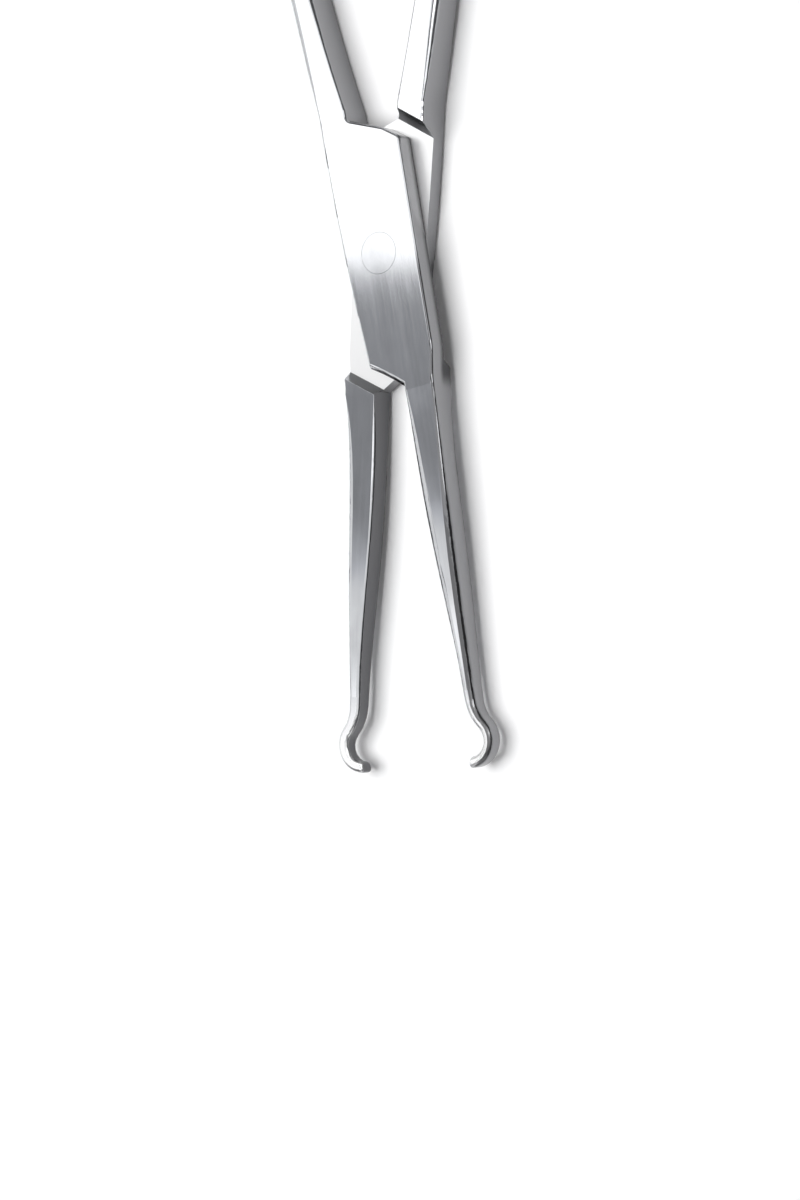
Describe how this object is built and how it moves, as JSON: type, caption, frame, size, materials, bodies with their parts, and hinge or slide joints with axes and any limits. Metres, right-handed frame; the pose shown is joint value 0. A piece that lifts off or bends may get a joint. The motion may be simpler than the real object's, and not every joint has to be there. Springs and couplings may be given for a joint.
{
  "type": "sponge holding forceps",
  "caption": "Ring-handled surgical holding forceps with a lap joint, slim tapering jaws, small open hooked tips and a ratchet between the handles.",
  "frame": {"origin": "the pivot axis where it meets the plane the forceps rests on", "axes": "+Y along the handles, -Y along the jaws, +Z out of the front plate, +X to the side of the front half's jaw"},
  "size_m": [0.0868, 0.1766, 0.0047],
  "materials": {
    "forged_steel": "satin polished stainless steel",
    "rivet_steel": "ground flush, satin"
  },
  "bodies": {
    "rear": {"rear_half": "forged_steel", "joint_rivet": "rivet_steel"},
    "front": {"front_half": "forged_steel"}
  },
  "joints": [
    {"name": "jaw_pivot", "type": "hinge", "parent": "rear", "child": "front", "pos_m": [0, 0, 0], "axis": [0, 0, 1], "range_deg": [-14, 26]}
  ]
}
